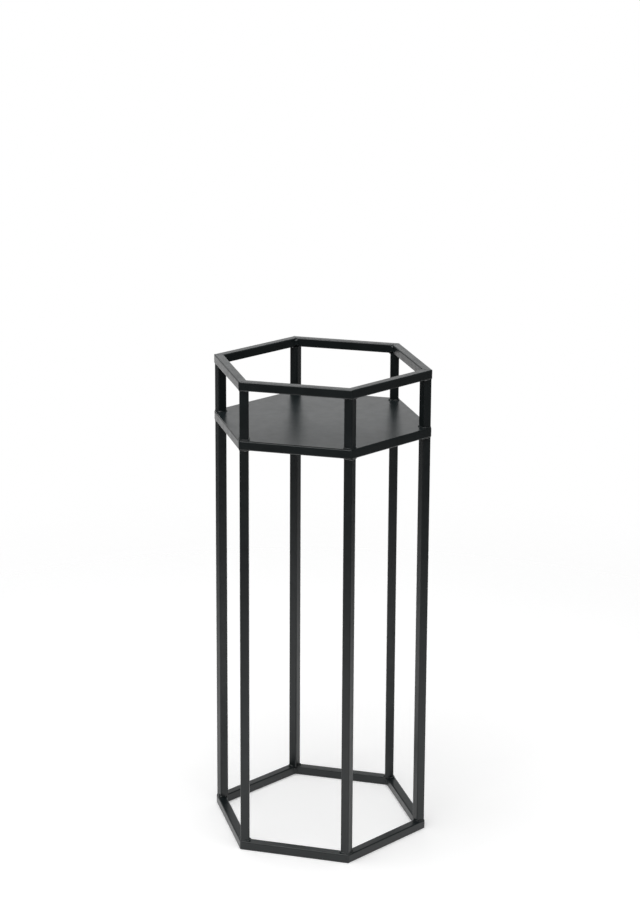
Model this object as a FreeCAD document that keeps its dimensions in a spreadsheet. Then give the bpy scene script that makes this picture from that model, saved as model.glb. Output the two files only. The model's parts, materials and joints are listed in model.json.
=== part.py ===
import FreeCAD, Part
import os
import Sketcher
from FreeCAD import Placement, Rotation, Vector

# Hexagonal plant stool: a welded frame of square steel tube, a sheet shelf and a guard ring above the shelf.
# Millimetres, +Z up, origin on the floor under the middle of the stool. Two corners of the hexagon lie on the
# X axis, and two of its sides face +Y and -Y.

# Driving dimensions
SIZES = {
    "across_corners": 300,   # outer corner to outer corner of every ring, before the corners are ground
    "shelf_height": 572,     # floor to the top of the shelf sheet
    "guard_height": 78,      # top of the shelf sheet to the top of the guard ring
    "tube_side": 12,         # outside of the square tube
    "tube_wall": 1,          # wall of the square tube
    "tube_corner": 1.5,      # outside corner radius of the square tube
    "ground_corner": 4,      # radius to which the rings' mitred corners are ground
    "sheet_thickness": 0.8,  # shelf sheet
    "sheet_setback": 0.5,    # shelf sheet's edge behind the outer faces of its ring
    "sheet_corner": 2,       # corner radius of the shelf sheet
    "corner_setback": 1.4,   # outer edge of a leg or post behind the unground corner of the rings
    "leg_weld": 2,           # width and height of the fillet weld round a leg's end
    "post_weld": 1.2,        # the same, round a guard post's end
    "weld_toe": 0.3,         # thickness of those welds where they run out on the tube
    "weld_setback": 0.8,     # edge of those welds behind the outer faces of the rings
    "mitre_weld": 3,         # leg length of the weld in a mitre's inner corner
    "stitch_weld": 2.5,      # leg length of a stitch weld under the shelf
    "stitch_length": 25,     # length of a stitch weld under the shelf
}

# Sides are named by the way they face, corners by where they stand, both anticlockwise from above
SIDES = ["back", "back_left", "front_left", "front", "front_right", "back_right"]
CORNERS = ["right", "back_right", "back_left", "left", "front_left", "front_right"]
FULL_TURN = 360              # degrees
STEP = FULL_TURN // len(CORNERS)
SECTOR = f"{STEP} deg"       # one side's share of the turn
HALF_SECTOR = f"{STEP / 2} deg"
EDGE_OUT = FULL_TURN / 8     # turns a square so that its diagonal lies along the radius
UPSIDE_DOWN = Rotation(Vector(1, 0, 0), FULL_TURN / 2)
UPRIGHT = Rotation()

# Sizes worked out from the driving dimensions
CORNER_RADIUS = "(Sizes.across_corners / 2)"
APOTHEM = f"({CORNER_RADIUS} * cos({HALF_SECTOR}))"
INNER_APOTHEM = f"({APOTHEM} - Sizes.tube_side)"
INNER_CORNER_RADIUS = f"({INNER_APOTHEM} / cos({HALF_SECTOR}))"
SHEET_CORNER_RADIUS = f"(({APOTHEM} - Sizes.sheet_setback) / cos({HALF_SECTOR}))"
WELD_CORNER_RADIUS = f"(({APOTHEM} - Sizes.weld_setback) / cos({HALF_SECTOR}))"
GROUND_LENGTH = f"(Sizes.ground_corner * tan({HALF_SECTOR}))"
SHEET_ROUND_LENGTH = f"(Sizes.sheet_corner * tan({HALF_SECTOR}))"
TUBE_HALF = "(Sizes.tube_side / 2)"
BORE_SIDE = "(Sizes.tube_side - 2 * Sizes.tube_wall)"
BORE_CORNER = "max(Sizes.tube_corner - Sizes.tube_wall; Sizes.tube_wall / 2)"
TUBE_REACH = f"(({TUBE_HALF} - Sizes.tube_corner) * sqrt(2) + Sizes.tube_corner)"
UPRIGHT_RADIUS = f"({CORNER_RADIUS} - Sizes.corner_setback - {TUBE_REACH})"
SHELF_RING_TOP = "(Sizes.shelf_height - Sizes.sheet_thickness)"
SHELF_RING_FOOT = f"({SHELF_RING_TOP} - Sizes.tube_side)"
TOP_RING_FOOT = "(Sizes.shelf_height + Sizes.guard_height - Sizes.tube_side)"
FAR = "Sizes.across_corners"  # well past the object's edge, for the outlines of cuts

doc = FreeCAD.newDocument("PlantStool")
sheet = doc.addObject("Spreadsheet::Sheet", "Sizes")
for row, (alias, size) in enumerate(SIZES.items(), start=1):
    sheet.set(f"A{row}", alias)
    sheet.set(f"B{row}", str(size))
    sheet.setAlias(f"B{row}", alias)
doc.recompute()

bodies = []


def number(expression):
    """The value, in millimetres, of an expression in the sheet's sizes."""
    value = sheet.evalExpression(expression)
    return float(getattr(value, "Value", value))


def new_body(label):
    """An empty body for one sub-part."""
    body = doc.addObject("PartDesign::Body", label)
    body.Label = label
    bodies.append(body)
    return body


def origin_item(body, role):
    """One of the body's own origin planes or axes."""
    return next(item for item in body.Origin.OriginFeatures if item.Role == role)


def new_sketch(body, role, turn=0, **offsets):
    """A sketch on one of the body's origin planes, turned there and moved by expressions along x, y and z."""
    sketch = body.newObject("Sketcher::SketchObject", f"{body.Label}_sketch")
    sketch.AttachmentSupport = (origin_item(body, role), [""])
    sketch.MapMode = "FlatFace"
    sketch.AttachmentOffset = Placement(Vector(), Rotation(Vector(0, 0, 1), turn))
    for axis, expression in offsets.items():
        sketch.setExpression(f"AttachmentOffset.Base.{axis}", expression)
    return sketch


def arc_between(start, end, radius):
    """The shorter arc of that radius from start to end, turning anticlockwise."""
    chord = end - start
    left = Vector(-chord.y, chord.x, 0) * (1 / chord.Length)
    rise = (radius ** 2 - (chord.Length / 2) ** 2) ** 0.5
    centre = (start + end) * 0.5 + left * rise
    return Part.Arc(start, centre - left * radius, end)


def bind(sketch, constraint, expression):
    """Adds a dimension to the sketch and ties it to an expression."""
    index = sketch.addConstraint(constraint)
    sketch.setExpression(f"Constraints[{index}]", expression)


def draw_outline(sketch, points, rounds=None):
    """Draws a closed outline through points whose x and y are expressions.

    rounds gives the radius of each stretch that is an arc, by the number of the point that it starts from.
    """
    rounds = rounds or {}
    spots = [Vector(number(x), number(y), 0) for x, y in points]
    edges = []
    for index, spot in enumerate(spots):
        following = spots[(index + 1) % len(spots)]
        if index in rounds:
            curve = arc_between(spot, following, number(rounds[index]))
        else:
            curve = Part.LineSegment(spot, following)
        edges.append(sketch.addGeometry(curve, False))
    for edge, following in zip(edges, edges[1:] + edges[:1]):
        sketch.addConstraint(Sketcher.Constraint("Coincident", edge, 2, following, 1))
    for edge, spot, (x, y) in zip(edges, spots, points):
        bind(sketch, Sketcher.Constraint("DistanceX", -1, 1, edge, 1, spot.x), x)
        bind(sketch, Sketcher.Constraint("DistanceY", -1, 1, edge, 1, spot.y), y)
    for index, radius in rounds.items():
        bind(sketch, Sketcher.Constraint("Radius", edges[index], number(radius)), radius)


def draw_rounded_square(sketch, side, corner):
    """Draws a square with round corners about the sketch's origin."""
    half = f"({side}) / 2"
    flat = f"(({side}) / 2 - ({corner}))"
    points = [
        (f"-{flat}", f"-{half}"),
        (flat, f"-{half}"),
        (half, f"-{flat}"),
        (half, flat),
        (flat, half),
        (f"-{flat}", half),
        (f"-{half}", flat),
        (f"-{half}", f"-{flat}"),
    ]
    draw_outline(sketch, points, {index: corner for index in (1, 3, 5, 7)})


def pad(body, sketch, length, side_type="One side"):
    """Extrudes a sketch by an expression's length."""
    feature = body.newObject("PartDesign::Pad", f"{body.Label}_pad")
    feature.Profile = sketch
    feature.SideType = side_type
    feature.setExpression("Length", length)
    doc.recompute()
    return feature


def cut_through(body, sketch):
    """Cuts a sketch right through the body, both ways, and checks that it took something off."""
    before = body.Shape.Volume
    feature = body.newObject("PartDesign::Pocket", f"{body.Label}_cut")
    feature.Profile = sketch
    feature.Type = "ThroughAll"
    feature.SideType = "Symmetric"
    doc.recompute()
    if body.Shape.Volume >= before:
        raise RuntimeError(f"{body.Label}: a cut took nothing off")


def repeat_round(body):
    """Repeats the whole body at every corner or side of the hexagon, as separate solids."""
    body.AllowCompound = True
    pattern = body.newObject("PartDesign::PolarPattern", f"{body.Label}_round")
    pattern.TransformMode = "Whole shape"
    pattern.Axis = (origin_item(body, "Z_Axis"), [""])
    pattern.Angle = FULL_TURN
    pattern.Occurrences = len(CORNERS)
    body.Tip = pattern
    doc.recompute()
    if len(body.Shape.Solids) != len(CORNERS):
        raise RuntimeError(f"{body.Label}: {len(body.Shape.Solids)} solids round the hexagon")


def place(body, rotation, **expressions):
    """Turns the body and ties its place along x, y and z to expressions."""
    body.Placement = Placement(Vector(), rotation)
    for axis, expression in expressions.items():
        body.setExpression(f"Placement.Base.{axis}", expression)


def draw_tube(sketch):
    """Draws the section of the square tube about the sketch's origin."""
    draw_rounded_square(sketch, "Sizes.tube_side", "Sizes.tube_corner")
    draw_rounded_square(sketch, BORE_SIDE, BORE_CORNER)


def make_rail(label, turn, foot):
    """One side of a ring: tube along X, modelled on the +Y side, sawn to the mitres and ground at the corners."""
    body = new_body(label)
    section = new_sketch(body, "YZ_Plane", x=f"{APOTHEM} - {TUBE_HALF}", y=TUBE_HALF)
    draw_tube(section)
    pad(body, section, f"{CORNER_RADIUS} + Sizes.tube_side", "Symmetric")
    round_x = f"({CORNER_RADIUS} * cos({SECTOR}) - {GROUND_LENGTH})"
    mitre_x = f"({round_x} + Sizes.ground_corner * cos({SECTOR}))"
    mitre_y = f"({APOTHEM} - Sizes.ground_corner + Sizes.ground_corner * sin({SECTOR}))"
    past_y = f"({APOTHEM} + Sizes.tube_side)"
    waste = new_sketch(body, "XY_Plane")
    draw_outline(waste, [
        ("0", "0"),
        (mitre_x, mitre_y),
        (round_x, APOTHEM),
        (round_x, past_y),
        (FAR, past_y),
        (FAR, "-Sizes.tube_side"),
        (f"-{FAR}", "-Sizes.tube_side"),
        (f"-{FAR}", past_y),
        (f"-{round_x}", past_y),
        (f"-{round_x}", APOTHEM),
        (f"-{mitre_x}", mitre_y),
    ], {1: "Sizes.ground_corner", 9: "Sizes.ground_corner"})
    cut_through(body, waste)
    place(body, Rotation(Vector(0, 0, 1), turn), z=foot)


def make_upright(label, turn, foot, head):
    """A leg or a post: tube along Z with its diagonal along the radius, just inside a corner of the rings."""
    body = new_body(label)
    section = new_sketch(body, "XY_Plane")
    draw_tube(section)
    pad(body, section, f"{head} - {foot}")
    place(
        body,
        Rotation(Vector(0, 0, 1), turn + EDGE_OUT),
        x=f"{UPRIGHT_RADIUS} * cos({turn} deg)",
        y=f"{UPRIGHT_RADIUS} * sin({turn} deg)",
        z=foot,
    )


def make_shelf_plate():
    """The shelf: a hexagonal sheet with round corners that lies on its ring."""
    body = new_body("shelf_plate")
    outline = new_sketch(body, "XY_Plane")
    points = []
    for turn in range(0, FULL_TURN, STEP):
        for along_side in (turn - 2 * STEP, turn + 2 * STEP):
            x = f"{SHEET_CORNER_RADIUS} * cos({turn} deg) + {SHEET_ROUND_LENGTH} * cos({along_side} deg)"
            y = f"{SHEET_CORNER_RADIUS} * sin({turn} deg) + {SHEET_ROUND_LENGTH} * sin({along_side} deg)"
            points.append((x, y))
    draw_outline(outline, points, {index: "Sizes.sheet_corner" for index in range(0, len(points), 2)})
    pad(body, outline, "Sizes.sheet_thickness")
    place(body, UPRIGHT, z=SHELF_RING_TOP)


def corner_outline(radius, *far_points):
    """An outline whose point is a corner of the hexagon at +X, its sides along the hexagon's, closed far off."""
    side_end = f"{radius} - {FAR} * cos({SECTOR})"
    half_width = f"{FAR} * sin({SECTOR})"
    return [(side_end, f"-{half_width}"), (radius, "0"), (side_end, half_width), *far_points]


def make_upright_welds(label, weld, face, rotation, over_ring):
    """Fillet welds round the ends of the legs or posts, trimmed to the steel that they lie on.

    The bead is modelled on the corner at +X, standing on the plane z = 0.
    """
    body = new_body(label)
    skirt = new_sketch(body, "XY_Plane", EDGE_OUT, x=UPRIGHT_RADIUS)
    draw_rounded_square(skirt, f"Sizes.tube_side + 2 * {weld}", f"Sizes.tube_corner + {weld}")
    block = pad(body, skirt, weld)
    heights = [block_face.CenterOfMass.z for block_face in block.Shape.Faces]
    top_face = f"Face{heights.index(max(heights)) + 1}"
    slope = body.newObject("PartDesign::Chamfer", f"{label}_slope")
    slope.Base = (block, [top_face])
    slope.setExpression("Size", f"{weld} - Sizes.weld_toe")
    doc.recompute()
    tube = new_sketch(body, "XY_Plane", EDGE_OUT, x=UPRIGHT_RADIUS)
    draw_rounded_square(tube, "Sizes.tube_side", "Sizes.tube_corner")
    cut_through(body, tube)
    past_x = f"{WELD_CORNER_RADIUS} + {FAR}"
    half_width = f"{FAR} * sin({SECTOR})"
    outside = new_sketch(body, "XY_Plane")
    far_points = [(past_x, half_width), (past_x, f"-{half_width}")]
    draw_outline(outside, corner_outline(WELD_CORNER_RADIUS, *far_points))
    cut_through(body, outside)
    if over_ring:
        inside = new_sketch(body, "XY_Plane")
        draw_outline(inside, corner_outline(INNER_CORNER_RADIUS))
        cut_through(body, inside)
    repeat_round(body)
    place(body, rotation, z=face)


def make_mitre_welds(label, foot):
    """Welds that fill the inner corner of every mitre of one ring, over the flat of the tube."""
    body = new_body(label)
    corner = new_sketch(body, "XY_Plane", z="Sizes.tube_corner")
    reach = f"{INNER_CORNER_RADIUS} - Sizes.mitre_weld * cos({SECTOR})"
    half_width = f"Sizes.mitre_weld * sin({SECTOR})"
    draw_outline(corner, [(INNER_CORNER_RADIUS, "0"), (reach, half_width), (reach, f"-{half_width}")])
    pad(body, corner, "Sizes.tube_side - 2 * Sizes.tube_corner")
    repeat_round(body)
    place(body, UPRIGHT, z=foot)


def make_stitch_welds():
    """Short welds under the shelf, between the sheet and the inner face of each rail of its ring."""
    body = new_body("shelf_stitch_welds")
    section = new_sketch(body, "YZ_Plane")
    draw_outline(section, [
        (INNER_APOTHEM, "0"),
        (INNER_APOTHEM, "-Sizes.tube_corner - Sizes.stitch_weld"),
        (f"{INNER_APOTHEM} - Sizes.stitch_weld", "0"),
    ])
    pad(body, section, "Sizes.stitch_length", "Symmetric")
    repeat_round(body)
    place(body, UPRIGHT, z=SHELF_RING_TOP)


# Rings
RING_FEET = {"base": "0", "shelf": SHELF_RING_FOOT, "top": TOP_RING_FOOT}
for ring, ring_foot in RING_FEET.items():
    for index, side_name in enumerate(SIDES):
        make_rail(f"{ring}_rail_{side_name}", index * STEP, ring_foot)
    make_mitre_welds(f"{ring}_mitre_welds", ring_foot)

# Legs, shelf and guard posts
for index, corner_name in enumerate(CORNERS):
    make_upright(f"leg_{corner_name}", index * STEP, "Sizes.tube_side", SHELF_RING_FOOT)
    make_upright(f"guard_post_{corner_name}", index * STEP, "Sizes.shelf_height", TOP_RING_FOOT)
make_shelf_plate()

# Welds at the ends of the legs and posts, and under the shelf
make_upright_welds("leg_foot_welds", "Sizes.leg_weld", "Sizes.tube_side", UPRIGHT, over_ring=True)
make_upright_welds("leg_head_welds", "Sizes.leg_weld", SHELF_RING_FOOT, UPSIDE_DOWN, over_ring=True)
make_upright_welds("post_foot_welds", "Sizes.post_weld", "Sizes.shelf_height", UPRIGHT, over_ring=False)
make_upright_welds("post_head_welds", "Sizes.post_weld", TOP_RING_FOOT, UPSIDE_DOWN, over_ring=True)
make_stitch_welds()

doc.recompute()
for item in doc.Objects:
    if "Invalid" in item.State or "Error" in item.State:
        raise RuntimeError(f"{item.Label} failed: {item.State}")
    if item.TypeId == "Sketcher::SketchObject" and not item.FullyConstrained:
        raise RuntimeError(f"{item.Label} is not fully constrained")
for body in bodies:
    if body.Shape.isNull() or not body.Shape.isValid():
        raise RuntimeError(f"{body.Label} has no valid shape")

os.makedirs("parts", exist_ok=True)
for body in bodies:
    body.Shape.exportStep(f"parts/{body.Label}.step")
print(f"{len(bodies)} sub-parts written")
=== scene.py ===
import json
import math
import random

import bmesh
import bpy
from mathutils import Matrix, Vector, noise


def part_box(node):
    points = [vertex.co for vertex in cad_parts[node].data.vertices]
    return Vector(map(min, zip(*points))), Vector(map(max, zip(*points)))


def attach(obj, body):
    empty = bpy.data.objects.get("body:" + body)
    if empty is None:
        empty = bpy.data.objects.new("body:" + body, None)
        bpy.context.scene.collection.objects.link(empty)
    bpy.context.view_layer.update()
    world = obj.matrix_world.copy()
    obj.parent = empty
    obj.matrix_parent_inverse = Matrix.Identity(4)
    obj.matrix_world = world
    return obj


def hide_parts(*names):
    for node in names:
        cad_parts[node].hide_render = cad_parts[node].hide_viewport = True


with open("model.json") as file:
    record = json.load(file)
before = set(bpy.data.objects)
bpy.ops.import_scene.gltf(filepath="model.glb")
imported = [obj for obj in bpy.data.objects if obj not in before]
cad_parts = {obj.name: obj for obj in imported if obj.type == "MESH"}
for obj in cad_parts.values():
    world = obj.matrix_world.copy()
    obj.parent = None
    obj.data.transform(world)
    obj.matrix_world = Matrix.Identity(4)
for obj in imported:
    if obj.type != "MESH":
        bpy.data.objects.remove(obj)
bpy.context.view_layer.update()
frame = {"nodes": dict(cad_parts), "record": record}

# Hexagonal plant stool in satin black powder coat: the tubes and the shelf keep their solids, and every
# weld is a rippled bead or a dressed seam. Metres, +Z up, two corners of the hexagon on the X axis.

MM = 0.001
CORNERS = 6
STEP = 360 / CORNERS         # degrees from corner to corner
HALF_STEP = math.radians(STEP / 2)
RIGHT_ANGLE = 90             # degrees

# Sizes read from the frame
rail_low, rail_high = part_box("base_rail_front")
shelf_rail_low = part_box("shelf_rail_front")[0]
top_rail_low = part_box("top_rail_front")[0]
plate_low, plate_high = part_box("shelf_plate")
leg_low, leg_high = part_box("leg_right")
leg_weld_low, leg_weld_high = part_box("leg_foot_welds")
post_weld_low, post_weld_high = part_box("post_foot_welds")
TUBE = rail_high.z - rail_low.z
APOTHEM = -rail_low.y
INNER_APOTHEM = -rail_high.y
UPRIGHT_RADIUS = (leg_low.x + leg_high.x) / 2
CORNER_RADIUS = APOTHEM / math.cos(HALF_STEP)
INNER_CORNER_RADIUS = INNER_APOTHEM / math.cos(HALF_STEP)
LEG_WELD = leg_weld_high.z - leg_weld_low.z      # toe to root of the bead round a leg's end
POST_WELD = post_weld_high.z - post_weld_low.z   # the same, round a guard post's end

# Sizes of the steel and of the other welds
TUBE_CORNER = 1.5 * MM
GROUND_CORNER = 4 * MM
MITRE_WELD = 3 * MM          # toe to root of the bead in a mitre's inner corner
STITCH_WELD = 2.5 * MM       # the same, along the shelf's underside
STITCH_LENGTH = 25 * MM
WELD_SETBACK = 0.8 * MM      # bead's edge behind the outer faces of the rings
INNER_SETBACK = TUBE_CORNER / 2   # bead's edge behind the inner faces of the rings

# Beads
LEAST_TOE = 0.4 * MM         # narrowest that a bead gets where the steel leaves it no room
LEAST_CLIMB = 0.55           # height that such a narrow bead keeps, as a share
LEAST_SLOPE = 0.1            # keeps the room finite where a toe runs nearly along the ring's inner edge
ROOT_DEPTH = 0.12 * MM       # how far a bead's hidden back sinks into the steel
BEAD_STEP = 0.2 * MM         # spacing of a bead's cross sections
BEAD_END = 1.6 * MM          # length over which a bead rounds off
END_SHARE = 0.08             # size of the bead's last cross section, as a share
CROWN_POINTS = 9             # points across the visible face of a bead
CROWN_RISE = 0.3             # rise of a bead's face over its chord, as a share of its shorter toe
RIPPLE_PITCH = 1.1 * MM
RIPPLE_HEIGHT = 0.15 * MM
RIPPLE_SPREAD = (0.6, 1.3)   # lowest and highest ripple, as shares of that height
RIPPLE_BOW = 0.55            # how far a ripple bows along the bead, in pitches
LUMP_LENGTH = 5 * MM
LUMP_SHARE = 0.5             # how much the toes of a bead round a leg or post swell and shrink along it
STRAIGHT_LUMP_SHARE = 0.18   # the same for the straight beads in the mitres and under the shelf
LEAN_SHARE = 0.08            # how much the bead wanders from one toe to the other

# Dressed seams over the outside of the mitres
SEAM_HALF_WIDTH = 1.7 * MM
SEAM_WIDTH_MEAN = 0.9        # mean width along the seam, and how far it departs from that, as shares
SEAM_WIDTH_SPREAD = 0.16
SEAM_HEIGHT = 0.14 * MM
SEAM_HEIGHT_MEAN = 0.8       # the same for the height
SEAM_HEIGHT_SPREAD = 0.35
SEAM_SINK = 0.03 * MM        # how far the seam's edges lie under the steel's surface
SEAM_BACK = 0.25 * MM        # thickness of the seam, from its face to its hidden back
SEAM_STEP = 0.35 * MM
SEAM_COLUMNS = 11
SEAM_WOBBLE = 3 * MM         # length of the irregularities along a seam
SEAM_STOP = 50               # degrees round the tube's edge where a seam stops short of a covered face
SEAM_UNDERLAP = 2 * MM       # how far a seam runs in past the outer edge of a leg or post
SHARP_ANGLE = math.radians(70)

# Noise along beads and seams
NOISE_PLANE = 0.5            # keeps the noise clear of the whole coordinates, where it is zero
NOISE_GAIN = 2               # brings the noise to about -1 to 1
LEAN_SEED = 0.37             # added to a seed, so that one noise differs from another
HEIGHT_SEED = 0.61
SEAM_SEED = 0.5

# Powder coat. A noise is its repeats a metre, its levels of detail and, where given, its roughness.
COAT_IOR = 1.5
COAT_SHINE = 0.48            # reflection of the coat, where 0.5 is what its refraction gives
DRIP_SHINE = 1.0             # the same under the rings, where the coat gathered on the hanging beads
BLACK = (0.0050, 0.0080, 0.0086, 1)
SOFT_BLACK = (0.0080, 0.0118, 0.0126, 1)
RUBBED_BLACK = (0.022, 0.025, 0.026, 1)
CLOUD_NOISE = (25, 3)
GLOSS_NOISE = (90, 4, 0.6)
NOISE_SPAN = (0.3, 0.7)      # the part of a noise's range that nearly all its values lie in
EDGE_RADIUS = 0.45 * MM      # rounding of the coat over an edge
RUB_RADIUS = 1.2 * MM        # how far the rub reaches from an edge
EDGE_SAMPLES = 4
RUB_BEND = (0.995, 0.9)      # cosine of the surface's bend where the rub starts, and where it is full
RUB_NOISE = (160, 4)
RUB_NOISE_SPAN = (0.42, 0.72)
RUB_SHARE = (0.1, 0.8)       # least and most of the coat that is rubbed
WAVE_DETAIL = 1
PEEL_NOISE = (520, 2)
GRAIN_NOISE = (2600, 1)
GRAIN_SHARE = 0.12           # depth of the grain, as a share of the orange peel's
NONE_TO_ALL = (0, 1)
ALL_TO_NONE = (1, 0)

# Camera, fitted to the object's edges in the photograph
PICTURE_LONG_SIDE = 913      # pixels
AXIS_ROW = 320.5             # pixel row that the lens points at, above the picture's middle
FOCAL_PIXELS = 2217.8
SENSOR = 36                  # millimetres, along the picture's long side
AZIMUTH = math.radians(15.107)
ELEVATION = math.radians(13.274)
ROLL = math.radians(0.309)
DISTANCE = 2.9223
AIM_HEIGHT = 0.7062
AIM_SIDE = -0.0028

# Studio
WHITE = (1, 1, 1, 1)
FLOOR_RADIUS = 1.5
FLOOR_FADE_FROM = 0.38       # where the floor starts to fade into the backdrop
FLOOR_SEGMENTS = 96
FLOOR_COLOUR = (0.92, 0.92, 0.92, 1)
FLOOR_ROUGHNESS = 0.9
FLOOR_SHINE = 0.1
FLOOR_GLOW = 0.18            # light that comes through the floor and keeps its shadows pale
BACKDROP = 1.0               # brightness that the camera sees past the floor
SURROUND_BACK = 1.2          # brightness of the studio behind the object
SURROUND_FRONT = 0.13        # brightness of the studio in front of it and overhead
FRONT_FROM = -0.95           # where the surround starts to darken, from -1 behind the object to 1 in front
FRONT_FULL = -0.65           # where it is darkest
CEILING_SHARE = 0.3          # how much of the darkening comes with height
SOFTBOX_SIZE = 3.0
SOFTBOX_POWER = 92
SOFTBOX_PLACE = (-0.1, -0.45, 2.7)


def in_corner(corner, point):
    """Turns a point or direction made at the corner on +X to another corner."""
    return Matrix.Rotation(math.radians(corner * STEP), 3, "Z") @ Vector(point)


def wobble(along, length, seed):
    """Smooth noise, about -1 to 1, along a length."""
    return noise.noise(Vector((along / length, seed, NOISE_PLANE))) * NOISE_GAIN


class Shell:
    """Collects the points and faces of one piece."""

    def __init__(self):
        self.points = []
        self.faces = []

    def add_tube(self, sections, closed):
        """Joins closed cross sections of equal length, into a loop or between two end caps."""
        start = len(self.points)
        count = len(sections[0])
        for section in sections:
            self.points.extend(section)
        rows = len(sections)
        for row in range(rows if closed else rows - 1):
            here = start + row * count
            there = start + (row + 1) % rows * count
            for column in range(count):
                after = (column + 1) % count
                self.faces.append((here + column, here + after, there + after, there + column))
        if not closed:
            last = start + (rows - 1) * count
            self.faces.append(tuple(start + column for column in reversed(range(count))))
            self.faces.append(tuple(last + column for column in range(count)))

    def add_slab(self, front, back):
        """Joins a grid of points and the same grid behind it into a closed slab."""
        rows, columns = len(front), len(front[0])
        sections = []
        for front_row, back_row in zip(front, back):
            sections.append(list(front_row) + list(reversed(back_row)))
        start = len(self.points)
        self.add_tube(sections, closed=False)
        # Rows of four-sided faces take the place of the two end caps
        del self.faces[-2:]
        width = 2 * columns
        for row in (0, rows - 1):
            base = start + row * width
            for column in range(columns - 1):
                face = (
                    base + column,
                    base + column + 1,
                    base + width - 2 - column,
                    base + width - 1 - column,
                )
                self.faces.append(face if row else tuple(reversed(face)))

    def make(self, name, material, node):
        """Makes the piece, which stands for a node and rides with it."""
        mesh = bpy.data.meshes.new(name)
        mesh.from_pydata(self.points, [], self.faces)
        mesh.validate()
        shape = bmesh.new()
        shape.from_mesh(mesh)
        bmesh.ops.recalc_face_normals(shape, faces=shape.faces)
        shape.to_mesh(mesh)
        shape.free()
        for face in mesh.polygons:
            face.use_smooth = True
        mesh.set_sharp_from_angle(angle=SHARP_ANGLE)
        mesh.materials.append(material)
        piece = bpy.data.objects.new(name, mesh)
        bpy.context.scene.collection.objects.link(piece)
        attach(piece, "root")
        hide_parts(node)


def bead_sections(stations, closed, seed, lump_share=LUMP_SHARE):
    """Cross sections of a rippled bead.

    A station is the root's place, the directions in which the two toes run out on the steel, the two toes'
    lengths, and the room that the steel leaves for the first toe.
    """
    draws = random.Random(seed)
    lengths = [0]
    for before, after in zip(stations, stations[1:]):
        lengths.append(lengths[-1] + (after[0] - before[0]).length)
    total = lengths[-1]
    if closed:
        total += (stations[0][0] - stations[-1][0]).length
    ripples = max(1, round(total / RIPPLE_PITCH))
    pitch = total / ripples
    heights = [RIPPLE_HEIGHT * draws.uniform(*RIPPLE_SPREAD) for _ in range(ripples)]
    sections = []
    for along, (root, first, second, first_toe, second_toe, room) in zip(lengths, stations):
        swell = 1 + lump_share * wobble(along, LUMP_LENGTH, seed)
        lean = LEAN_SHARE * wobble(along, LUMP_LENGTH, seed + LEAN_SEED)
        fade = 1
        if not closed:
            nearest = min(along, total - along, BEAD_END) / BEAD_END
            fade = max(END_SHARE, math.sqrt(1 - (1 - nearest) ** 2))
        toe_a = first * min(first_toe * fade * (swell + lean), room)
        toe_b = second * second_toe * fade * (swell - lean)
        outward = (first + second).normalized()
        rise = CROWN_RISE * min(first_toe, second_toe) * fade
        section = []
        for index in range(CROWN_POINTS):
            across = index / (CROWN_POINTS - 1)
            bulge = math.sin(math.pi * across)
            phase = along / pitch - RIPPLE_BOW * bulge
            ripple = math.floor(phase)
            inside = 2 * (phase - ripple) - 1
            crest = heights[ripple % ripples] * (1 - inside ** 2) * fade
            face = toe_a.lerp(toe_b, across)
            section.append(root + face + outward * bulge * (rise + crest))
        section.append(root + toe_b - first * ROOT_DEPTH)
        section.append(root - (first + second) * ROOT_DEPTH)
        section.append(root + toe_a - second * ROOT_DEPTH)
        sections.append(section)
    return sections


def upright_outline():
    """Points and outward directions round a leg's section at the corner on +X, from its inner edge on."""
    flat = TUBE - 2 * TUBE_CORNER
    arc = TUBE_CORNER * math.pi / 2
    arc_steps = round(arc / BEAD_STEP)
    flat_steps = round(flat / BEAD_STEP)
    edge_middle = math.sqrt(2) * flat / 2
    outline = []
    for quarter in range(4):
        edge = math.pi + quarter * math.pi / 2
        centre = Vector((UPRIGHT_RADIUS, 0, 0)) + edge_middle * Vector((math.cos(edge), math.sin(edge), 0))
        for step in range(arc_steps):
            turn = edge + (step / arc_steps - 0.5) * math.pi / 2
            outward = Vector((math.cos(turn), math.sin(turn), 0))
            outline.append((centre + outward * TUBE_CORNER, outward))
        turn = edge + math.pi / 4
        outward = Vector((math.cos(turn), math.sin(turn), 0))
        along = Vector((-outward.y, outward.x, 0))
        for step in range(flat_steps):
            outline.append((centre + outward * TUBE_CORNER + along * flat * step / flat_steps, outward))
    half_arc = arc_steps // 2
    return outline[half_arc:] + outline[:half_arc]


def side_normal(side):
    """Outward direction of the ring's side to the left (1) or right (-1) of the corner on +X."""
    return Vector((math.cos(HALF_STEP), side * math.sin(HALF_STEP), 0))


def room_for_toe(point, outward, over_ring):
    """How far a bead's toe can run from a point of the leg's outline before it leaves the steel."""
    room = TUBE
    for side in (-1, 1):
        normal = side_normal(side)
        slope = normal.dot(outward)
        if slope > 0:
            room = min(room, (APOTHEM - WELD_SETBACK - normal.dot(point)) / slope)
        elif over_ring and side * point.y >= 0:
            room = min(room, (normal.dot(point) - INNER_APOTHEM - INNER_SETBACK) / max(-slope, LEAST_SLOPE))
    return max(room, LEAST_TOE)


def on_ring(point):
    """True where a point of the leg's outline at the corner on +X lies over its ring."""
    side = 1 if point.y >= 0 else -1
    return side_normal(side).dot(point) > INNER_APOTHEM + INNER_SETBACK


def upright_stations(corner, weld, height, up, over_ring):
    """Stations of the bead round the end of a leg or post that stands, or hangs, at a height."""
    stations = []
    for point, outward in upright_outline():
        if over_ring and not on_ring(point):
            continue
        room = room_for_toe(point, outward, over_ring)
        toe = min(weld, room)
        climb = weld * LEAST_CLIMB + toe * (1 - LEAST_CLIMB)
        root = in_corner(corner, (point.x, point.y, height))
        stations.append((root, in_corner(corner, outward), Vector((0, 0, up)), toe, climb, room))
    return stations


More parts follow.
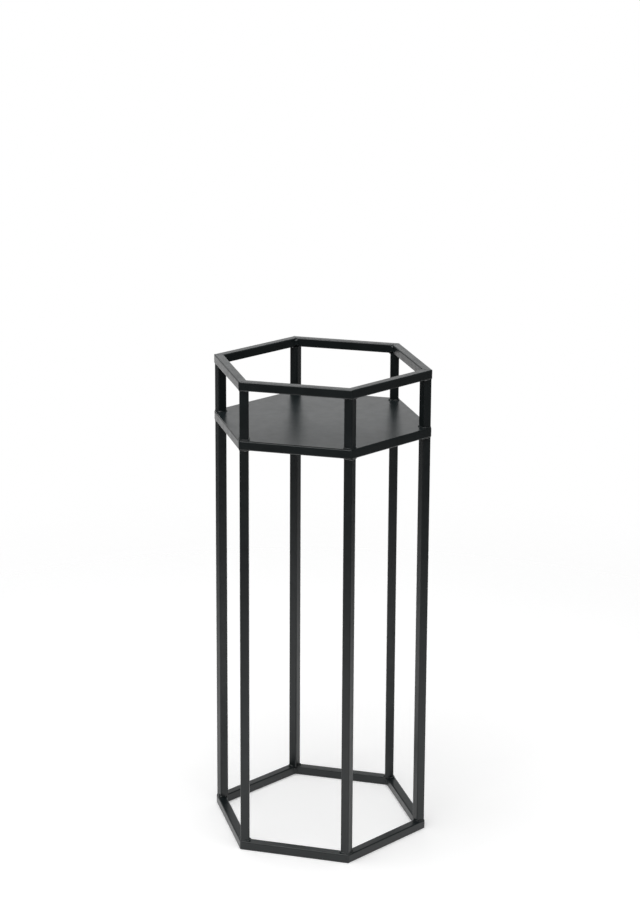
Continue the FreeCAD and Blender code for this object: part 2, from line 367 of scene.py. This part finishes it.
def make_upright_beads(name, node, material, weld, height, up, over_ring, seed):
    """Beads round the ends of all the legs or posts at one height."""
    shell = Shell()
    for corner in range(CORNERS):
        stations = upright_stations(corner, weld, height, up, over_ring)
        shell.add_tube(bead_sections(stations, not over_ring, seed + corner), closed=not over_ring)
    shell.make(name, material, node)


def mitre_stations(corner, foot):
    """Stations of the bead that climbs a mitre's inner corner."""
    length = TUBE - 2 * TUBE_CORNER
    steps = round(length / BEAD_STEP)
    half_open = math.pi - HALF_STEP * 2
    first = in_corner(corner, (math.cos(half_open), math.sin(half_open), 0))
    second = in_corner(corner, (math.cos(half_open), -math.sin(half_open), 0))
    stations = []
    for step in range(steps + 1):
        height = foot + TUBE_CORNER + length * step / steps
        root = in_corner(corner, (INNER_CORNER_RADIUS, 0, height))
        stations.append((root, first, second, MITRE_WELD, MITRE_WELD, TUBE))
    return stations


def arc_of_edge(radius, height, start, end):
    """Points (radius, height, outward, up) over one rounded edge of a ring, in the plane of the mitre."""
    steps = round(TUBE_CORNER * math.pi / 2 / SEAM_STEP)
    points = []
    for step in range(steps + 1):
        turn = math.radians(start + (end - start) * step / steps)
        back = TUBE_CORNER * (1 - math.cos(turn)) / math.cos(HALF_STEP)
        points.append((radius - back, height + TUBE_CORNER * math.sin(turn), math.cos(turn), math.sin(turn)))
    return points


def straight_run(start, end, outward, up):
    """Points (radius, height, outward, up) along one face of a ring, without its ends."""
    (start_radius, start_height), (end_radius, end_height) = start, end
    length = math.hypot(end_radius - start_radius, end_height - start_height)
    steps = max(2, round(length / SEAM_STEP))
    points = []
    for step in range(1, steps):
        share = step / steps
        radius = start_radius + (end_radius - start_radius) * share
        points.append((radius, start_height + (end_height - start_height) * share, outward, up))
    return points


def seam_path(foot, top_from, bottom_from):
    """The seam's middle line over a mitre: from a radius on the top face, outside and to one underneath.

    A radius of None leaves out that face, and the seam stops part of the way round the edge to it.
    """
    upper = foot + TUBE - TUBE_CORNER
    lower = foot + TUBE_CORNER
    flat_end = CORNER_RADIUS - TUBE_CORNER / math.cos(HALF_STEP)
    path = []
    if top_from is None:
        path += arc_of_edge(CORNER_RADIUS, upper, SEAM_STOP, 0)
    else:
        path += straight_run((top_from, foot + TUBE), (flat_end, foot + TUBE), 0, 1)
        path += arc_of_edge(CORNER_RADIUS, upper, RIGHT_ANGLE, 0)
    path += straight_run((CORNER_RADIUS, upper), (CORNER_RADIUS, lower), 1, 0)
    if bottom_from is None:
        path += arc_of_edge(CORNER_RADIUS, lower, 0, -SEAM_STOP)
    else:
        path += arc_of_edge(CORNER_RADIUS, lower, 0, -RIGHT_ANGLE)
        path += straight_run((flat_end, foot), (bottom_from, foot), 0, -1)
    return path


def seam_grids(path, corner, seed):
    """Front and back grids of a dressed seam that follows a path over the corner's ground edge."""
    ground_centre = CORNER_RADIUS - GROUND_CORNER / math.cos(HALF_STEP)
    front, back = [], []
    for row, (radius, height, outward, up) in enumerate(path):
        along = row * SEAM_STEP
        width_share = SEAM_WIDTH_MEAN + SEAM_WIDTH_SPREAD * wobble(along, SEAM_WOBBLE, seed)
        height_share = SEAM_HEIGHT_MEAN + SEAM_HEIGHT_SPREAD * wobble(along, SEAM_WOBBLE, seed + HEIGHT_SEED)
        half_width = SEAM_HALF_WIDTH * width_share
        swell = SEAM_HEIGHT * height_share
        front_row, back_row = [], []
        for column in range(SEAM_COLUMNS):
            across = 2 * column / (SEAM_COLUMNS - 1) - 1
            side = across * half_width
            reach = radius - abs(side) * math.tan(HALF_STEP)
            if abs(side) < GROUND_CORNER * math.sin(HALF_STEP):
                reach = min(reach, ground_centre + math.sqrt(GROUND_CORNER ** 2 - side ** 2))
            proud = (swell + SEAM_SINK) * (1 - across ** 2) - SEAM_SINK
            front_row.append(in_corner(corner, (reach + outward * proud, side, height + up * proud)))
            deep = proud - SEAM_BACK
            back_row.append(in_corner(corner, (reach + outward * deep, side, height + up * deep)))
        front.append(front_row)
        back.append(back_row)
    return front, back


def make_mitre_welds(name, node, material, foot, top_from, bottom_from, seed):
    """Each mitre's weld: a raw bead in the inner corner and a dressed seam over the outside."""
    shell = Shell()
    path = seam_path(foot, top_from, bottom_from)
    for corner in range(CORNERS):
        bead = bead_sections(mitre_stations(corner, foot), False, seed + corner, STRAIGHT_LUMP_SHARE)
        shell.add_tube(bead, closed=False)
        shell.add_slab(*seam_grids(path, corner, seed + corner + SEAM_SEED))
    shell.make(name, material, node)


def make_stitches(name, node, material, seed):
    """Short beads between the shelf's underside and the inner faces of its ring."""
    shell = Shell()
    steps = round(STITCH_LENGTH / BEAD_STEP)
    down = Vector((0, 0, -1))
    for side in range(CORNERS):
        turn = Matrix.Rotation(math.radians((side + 0.5) * STEP), 3, "Z")
        inward = turn @ Vector((-1, 0, 0))
        stations = []
        for step in range(steps + 1):
            along = STITCH_LENGTH * (step / steps - 0.5)
            root = turn @ Vector((INNER_APOTHEM, along, plate_low.z))
            stations.append((root, down, inward, TUBE_CORNER + STITCH_WELD, STITCH_WELD, TUBE))
        bead = bead_sections(stations, False, seed + side, STRAIGHT_LUMP_SHARE)
        shell.add_tube(bead, closed=False)
    shell.make(name, material, node)


def node_of(tree, kind, **values):
    """A shader node with some of its properties or input sockets set."""
    node = tree.nodes.new(kind)
    for name, value in values.items():
        if hasattr(node, name):
            setattr(node, name, value)
        else:
            node.inputs[name.replace("_", " ")].default_value = value
    return node


def noise_node(tree, place, scale, detail, roughness=0.5):
    """Noise over the object's own coordinates, with its scale in repeats a metre."""
    texture = node_of(tree, "ShaderNodeTexNoise", Scale=scale, Detail=detail, Roughness=roughness)
    tree.links.new(place.outputs["Object"], texture.inputs["Vector"])
    return texture.outputs["Fac"]


def span(tree, source, start, target):
    """Stretches one range of a value smoothly onto another."""
    stretch = node_of(tree, "ShaderNodeMapRange", interpolation_type="SMOOTHSTEP")
    for name, value in zip(("From Min", "From Max", "To Min", "To Max"), start + target):
        stretch.inputs[name].default_value = value
    tree.links.new(source, stretch.inputs["Value"])
    return stretch.outputs["Result"]


def bump_over(tree, height, distance, normal):
    """Adds a relief of that depth, in metres, to a normal."""
    bump = node_of(tree, "ShaderNodeBump", Strength=1, Distance=distance)
    tree.links.new(height, bump.inputs["Height"])
    tree.links.new(normal, bump.inputs["Normal"])
    return bump.outputs["Normal"]


def powder_coat(name, roughness, wave_scale, wave_depth, peel_depth, shine=COAT_SHINE):
    """Satin black powder coat: orange peel over slow waves, uneven gloss and a paler rub on the edges."""
    material = bpy.data.materials.new(name)
    material.use_nodes = True
    tree = material.node_tree
    shader = tree.nodes["Principled BSDF"]
    shader.inputs["IOR"].default_value = COAT_IOR
    shader.inputs["Specular IOR Level"].default_value = shine
    place = tree.nodes.new("ShaderNodeTexCoord")

    # Rounded edges of the coat, and how far a point is over such an edge
    edge = node_of(tree, "ShaderNodeBevel", samples=EDGE_SAMPLES, Radius=EDGE_RADIUS)
    wide_edge = node_of(tree, "ShaderNodeBevel", samples=EDGE_SAMPLES, Radius=RUB_RADIUS)
    surface = tree.nodes.new("ShaderNodeNewGeometry")
    agree = node_of(tree, "ShaderNodeVectorMath", operation="DOT_PRODUCT")
    tree.links.new(wide_edge.outputs["Normal"], agree.inputs[0])
    tree.links.new(surface.outputs["Normal"], agree.inputs[1])
    rub = span(tree, agree.outputs["Value"], RUB_BEND, NONE_TO_ALL)
    patches = span(tree, noise_node(tree, place, *RUB_NOISE), RUB_NOISE_SPAN, RUB_SHARE)
    worn = node_of(tree, "ShaderNodeMath", operation="MULTIPLY")
    tree.links.new(rub, worn.inputs[0])
    tree.links.new(patches, worn.inputs[1])

    # Colour: two close blacks in slow clouds, paler where the edges are rubbed
    clouds = node_of(tree, "ShaderNodeMix", data_type="RGBA")
    cloud = span(tree, noise_node(tree, place, *CLOUD_NOISE), NOISE_SPAN, NONE_TO_ALL)
    tree.links.new(cloud, clouds.inputs["Factor"])
    clouds.inputs["A"].default_value = BLACK
    clouds.inputs["B"].default_value = SOFT_BLACK
    rubbed = node_of(tree, "ShaderNodeMix", data_type="RGBA")
    tree.links.new(worn.outputs["Value"], rubbed.inputs["Factor"])
    tree.links.new(clouds.outputs["Result"], rubbed.inputs["A"])
    rubbed.inputs["B"].default_value = RUBBED_BLACK
    tree.links.new(rubbed.outputs["Result"], shader.inputs["Base Color"])

    # Gloss
    gloss = span(tree, noise_node(tree, place, *GLOSS_NOISE), NOISE_SPAN, roughness)
    tree.links.new(gloss, shader.inputs["Roughness"])

    # Relief: slow waves, orange peel and fine grain
    waves = noise_node(tree, place, wave_scale, WAVE_DETAIL)
    normal = bump_over(tree, waves, wave_depth, edge.outputs["Normal"])
    normal = bump_over(tree, noise_node(tree, place, *PEEL_NOISE), peel_depth, normal)
    normal = bump_over(tree, noise_node(tree, place, *GRAIN_NOISE), peel_depth * GRAIN_SHARE, normal)
    tree.links.new(normal, shader.inputs["Normal"])
    return material


def make_floor():
    """A pale round floor that fades out into the backdrop."""
    points = [(0, 0, 0)]
    for segment in range(FLOOR_SEGMENTS):
        turn = 2 * math.pi * segment / FLOOR_SEGMENTS
        points.append((FLOOR_RADIUS * math.cos(turn), FLOOR_RADIUS * math.sin(turn), 0))
    faces = []
    for segment in range(FLOOR_SEGMENTS):
        faces.append((0, segment + 1, (segment + 1) % FLOOR_SEGMENTS + 1))
    mesh = bpy.data.meshes.new("floor")
    mesh.from_pydata(points, [], faces)
    material = bpy.data.materials.new("floor_paper")
    material.use_nodes = True
    tree = material.node_tree
    shader = tree.nodes["Principled BSDF"]
    shader.inputs["Base Color"].default_value = FLOOR_COLOUR
    shader.inputs["Roughness"].default_value = FLOOR_ROUGHNESS
    shader.inputs["Specular IOR Level"].default_value = FLOOR_SHINE
    shader.inputs["Emission Color"].default_value = WHITE
    shader.inputs["Emission Strength"].default_value = FLOOR_GLOW
    place = tree.nodes.new("ShaderNodeTexCoord")
    distance = node_of(tree, "ShaderNodeVectorMath", operation="LENGTH")
    tree.links.new(place.outputs["Object"], distance.inputs[0])
    fade = span(tree, distance.outputs["Value"], (FLOOR_FADE_FROM, FLOOR_RADIUS), ALL_TO_NONE)
    tree.links.new(fade, shader.inputs["Alpha"])
    mesh.materials.append(material)
    floor = bpy.data.objects.new("floor", mesh)
    bpy.context.scene.collection.objects.link(floor)


def make_surround():
    """White backdrop for the camera; for reflections, a studio that is bright behind and dim in front."""
    world = bpy.data.worlds.new("studio")
    world.use_nodes = True
    bpy.context.scene.world = world
    tree = world.node_tree
    tree.nodes.clear()
    place = tree.nodes.new("ShaderNodeTexCoord")
    towards = node_of(tree, "ShaderNodeVectorMath", operation="DOT_PRODUCT")
    towards.inputs[1].default_value = (math.sin(AZIMUTH), -math.cos(AZIMUTH), CEILING_SHARE)
    tree.links.new(place.outputs["Generated"], towards.inputs[0])
    darkening = (FRONT_FROM, FRONT_FULL)
    strength = span(tree, towards.outputs["Value"], darkening, (SURROUND_BACK, SURROUND_FRONT))
    studio = tree.nodes.new("ShaderNodeBackground")
    tree.links.new(strength, studio.inputs["Strength"])
    backdrop = node_of(tree, "ShaderNodeBackground", Strength=BACKDROP)
    for background in (studio, backdrop):
        background.inputs["Color"].default_value = WHITE
    ray = tree.nodes.new("ShaderNodeLightPath")
    choose = tree.nodes.new("ShaderNodeMixShader")
    tree.links.new(ray.outputs["Is Camera Ray"], choose.inputs["Fac"])
    tree.links.new(studio.outputs["Background"], choose.inputs[1])
    tree.links.new(backdrop.outputs["Background"], choose.inputs[2])
    output = tree.nodes.new("ShaderNodeOutputWorld")
    tree.links.new(choose.outputs["Shader"], output.inputs["Surface"])


def make_softbox():
    """One large soft light overhead, aimed at the middle of the stool."""
    lamp = bpy.data.lights.new("softbox", "AREA")
    lamp.shape = "DISK"
    lamp.size = SOFTBOX_SIZE
    lamp.energy = SOFTBOX_POWER
    softbox = bpy.data.objects.new("softbox", lamp)
    softbox.location = SOFTBOX_PLACE
    aim = Vector((0, 0, plate_high.z / 2)) - Vector(SOFTBOX_PLACE)
    softbox.rotation_mode = "QUATERNION"
    softbox.rotation_quaternion = aim.to_track_quat("-Z", "Y")
    bpy.context.scene.collection.objects.link(softbox)


def make_camera():
    """The camera of the photograph."""
    back = Vector((
        math.sin(AZIMUTH) * math.cos(ELEVATION),
        -math.cos(AZIMUTH) * math.cos(ELEVATION),
        math.sin(ELEVATION),
    ))
    level = Vector((math.cos(AZIMUTH), math.sin(AZIMUTH), 0))
    upright = back.cross(level)
    right = math.cos(ROLL) * level + math.sin(ROLL) * upright
    up = math.cos(ROLL) * upright - math.sin(ROLL) * level
    lens = bpy.data.cameras.new("camera")
    lens.sensor_width = SENSOR
    lens.lens = SENSOR * FOCAL_PIXELS / PICTURE_LONG_SIDE
    lens.shift_y = AXIS_ROW / PICTURE_LONG_SIDE - 0.5
    camera = bpy.data.objects.new("camera", lens)
    turn = Matrix((right, up, back)).transposed()
    place = Vector((0, 0, AIM_HEIGHT)) + right * AIM_SIDE + back * DISTANCE
    camera.matrix_world = Matrix.Translation(place) @ turn.to_4x4()
    bpy.context.scene.collection.objects.link(camera)
    bpy.context.scene.camera = camera


# Finishes
tube_coat = powder_coat(
    "tube_coat_satin",
    roughness=(0.30, 0.36), wave_scale=30, wave_depth=0.06 * MM, peel_depth=0.036 * MM)
shelf_coat = powder_coat(
    "shelf_coat_satin",
    roughness=(0.30, 0.34), wave_scale=7, wave_depth=0.12 * MM, peel_depth=0.024 * MM)
bead_coat = powder_coat(
    "weld_coat_beads",
    roughness=(0.28, 0.40), wave_scale=200, wave_depth=0.04 * MM, peel_depth=0.02 * MM)
drip_coat = powder_coat(
    "weld_coat_drips",
    roughness=(0.18, 0.28), wave_scale=200, wave_depth=0.04 * MM, peel_depth=0.02 * MM, shine=DRIP_SHINE)
FINISHES = {"tube_coat": tube_coat, "shelf_coat": shelf_coat, "weld_coat": bead_coat}
for subpart in frame["record"]["subparts"]:
    frame["nodes"][subpart["node"]].material_slots[0].material = FINISHES[subpart["material_slot"]]

# Welds at the ends of the legs and posts
make_upright_beads(
    "leg_foot_beads", "leg_foot_welds", bead_coat,
    LEG_WELD, rail_high.z, up=1, over_ring=True, seed=10)
make_upright_beads(
    "leg_head_beads", "leg_head_welds", drip_coat,
    LEG_WELD, shelf_rail_low.z, up=-1, over_ring=True, seed=20)
make_upright_beads(
    "post_foot_beads", "post_foot_welds", bead_coat,
    POST_WELD, plate_high.z, up=1, over_ring=False, seed=30)
make_upright_beads(
    "post_head_beads", "post_head_welds", drip_coat,
    POST_WELD, top_rail_low.z, up=-1, over_ring=True, seed=40)

# Welds of the mitres, and under the shelf
inner_flat = (INNER_APOTHEM + TUBE_CORNER) / math.cos(HALF_STEP)
under_upright = leg_high.x - SEAM_UNDERLAP
make_mitre_welds(
    "base_mitre_seams", "base_mitre_welds", bead_coat,
    rail_low.z, top_from=under_upright, bottom_from=None, seed=50)
make_mitre_welds(
    "shelf_mitre_seams", "shelf_mitre_welds", bead_coat,
    shelf_rail_low.z, top_from=None, bottom_from=under_upright, seed=60)
make_mitre_welds(
    "top_mitre_seams", "top_mitre_welds", bead_coat,
    top_rail_low.z, top_from=inner_flat, bottom_from=under_upright, seed=70)
make_stitches("shelf_stitch_beads", "shelf_stitch_welds", drip_coat, seed=80)

# Studio
make_floor()
make_surround()
make_softbox()
make_camera()
bpy.context.scene.view_settings.view_transform = "Standard"
